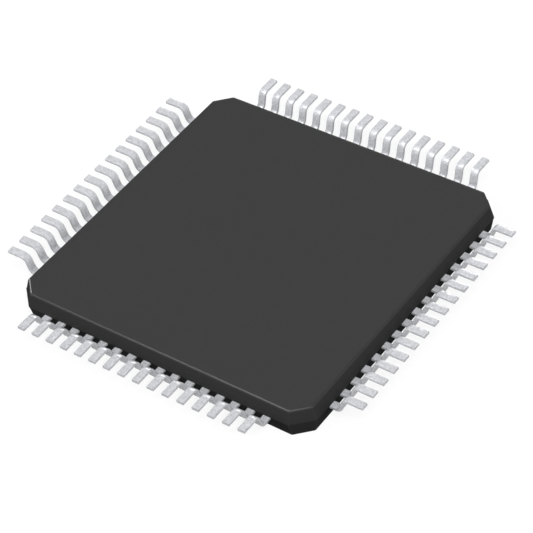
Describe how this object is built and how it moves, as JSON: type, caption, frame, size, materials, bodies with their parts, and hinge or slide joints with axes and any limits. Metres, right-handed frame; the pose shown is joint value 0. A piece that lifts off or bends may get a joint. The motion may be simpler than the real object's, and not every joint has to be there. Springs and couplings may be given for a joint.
{
  "type": "quad flat pack chip",
  "caption": "Thin square surface-mount chip with gull-wing leads along every side, lying on its marking face with the solder feet up.",
  "frame": {"origin": "centre of the marking face, which the chip lies on", "axes": "+Z out of the underside, towards the solder feet; +X and +Y square to two sides of the body"},
  "size_m": [0.0122, 0.0122, 0.001],
  "materials": {
    "moulding_compound": "dark grey epoxy moulding compound, fine matte texture",
    "plated_leads": "satin matte tin plating over copper alloy",
    "die_pad_copper": "rolled copper alloy strip",
    "die_attach_epoxy": "silver filled epoxy",
    "silicon": "polished silicon with a passivated face",
    "gold_wire": "drawn gold wire"
  },
  "bodies": {
    "root": {"moulded_body": "moulding_compound", "die_pad": "die_pad_copper", "die_attach": "die_attach_epoxy", "silicon_die": "silicon", "leads_place_01": "plated_leads", "leads_place_02": "plated_leads", "leads_place_03": "plated_leads", "leads_place_04": "plated_leads", "leads_place_05": "plated_leads", "leads_place_06": "plated_leads", "leads_place_07": "plated_leads", "leads_place_08": "plated_leads", "leads_place_09": "plated_leads", "leads_place_10": "plated_leads", "leads_place_11": "plated_leads", "leads_place_12": "plated_leads", "leads_place_13": "plated_leads", "leads_place_14": "plated_leads", "leads_place_15": "plated_leads", "leads_place_16": "plated_leads", "bond_wires_place_01": "gold_wire", "bond_wires_place_02": "gold_wire", "bond_wires_place_03": "gold_wire", "bond_wires_place_04": "gold_wire", "bond_wires_place_05": "gold_wire", "bond_wires_place_06": "gold_wire", "bond_wires_place_07": "gold_wire", "bond_wires_place_08": "gold_wire", "bond_wires_place_09": "gold_wire", "bond_wires_place_10": "gold_wire", "bond_wires_place_11": "gold_wire", "bond_wires_place_12": "gold_wire", "bond_wires_place_13": "gold_wire", "bond_wires_place_14": "gold_wire", "bond_wires_place_15": "gold_wire", "bond_wires_place_16": "gold_wire"}
  },
  "joints": []
}
